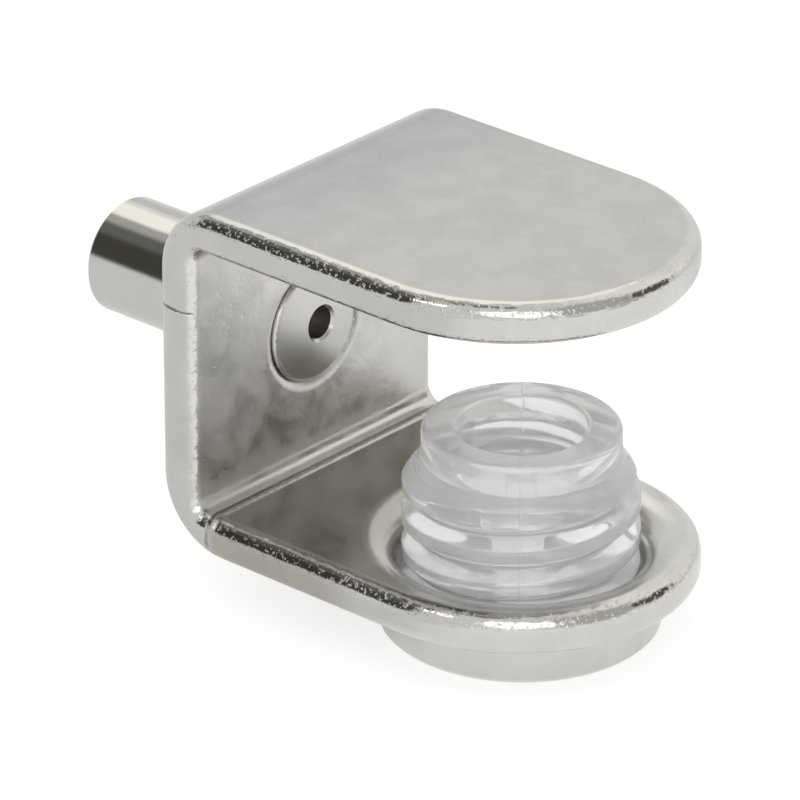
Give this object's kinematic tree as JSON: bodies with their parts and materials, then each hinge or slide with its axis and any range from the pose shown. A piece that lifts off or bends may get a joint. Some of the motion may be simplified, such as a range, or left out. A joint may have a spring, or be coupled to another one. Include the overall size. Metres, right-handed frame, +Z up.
{
  "type": "shelf support pin",
  "caption": "U shaped glass shelf clamp on a round panel pin, with a clear plastic clamping screw in a drawn collar.",
  "frame": {"origin": "on the pin's axis, at the back plate's outer face", "axes": "+X from the back plate towards the tab ends, +Y across the support, +Z up, from the screw towards the top tab"},
  "size_m": [0.0293, 0.015, 0.0174],
  "materials": {
    "nickel_bracket": "nickel plated over a tumbled steel blank, satin bright",
    "nickel_pin": "nickel plated, turned, bright",
    "clear_plastic": "clear, slightly bluish, moulded gloss"
  },
  "bodies": {
    "clamp": {"bracket": "nickel_bracket", "pin": "nickel_pin"},
    "clamping_screw": {"screw": "clear_plastic"}
  },
  "joints": [
    {"name": "screw_travel", "type": "slide", "parent": "clamp", "child": "clamping_screw", "axis": [0, 0, 1], "range_m": [-0.0015, 0.002]}
  ]
}
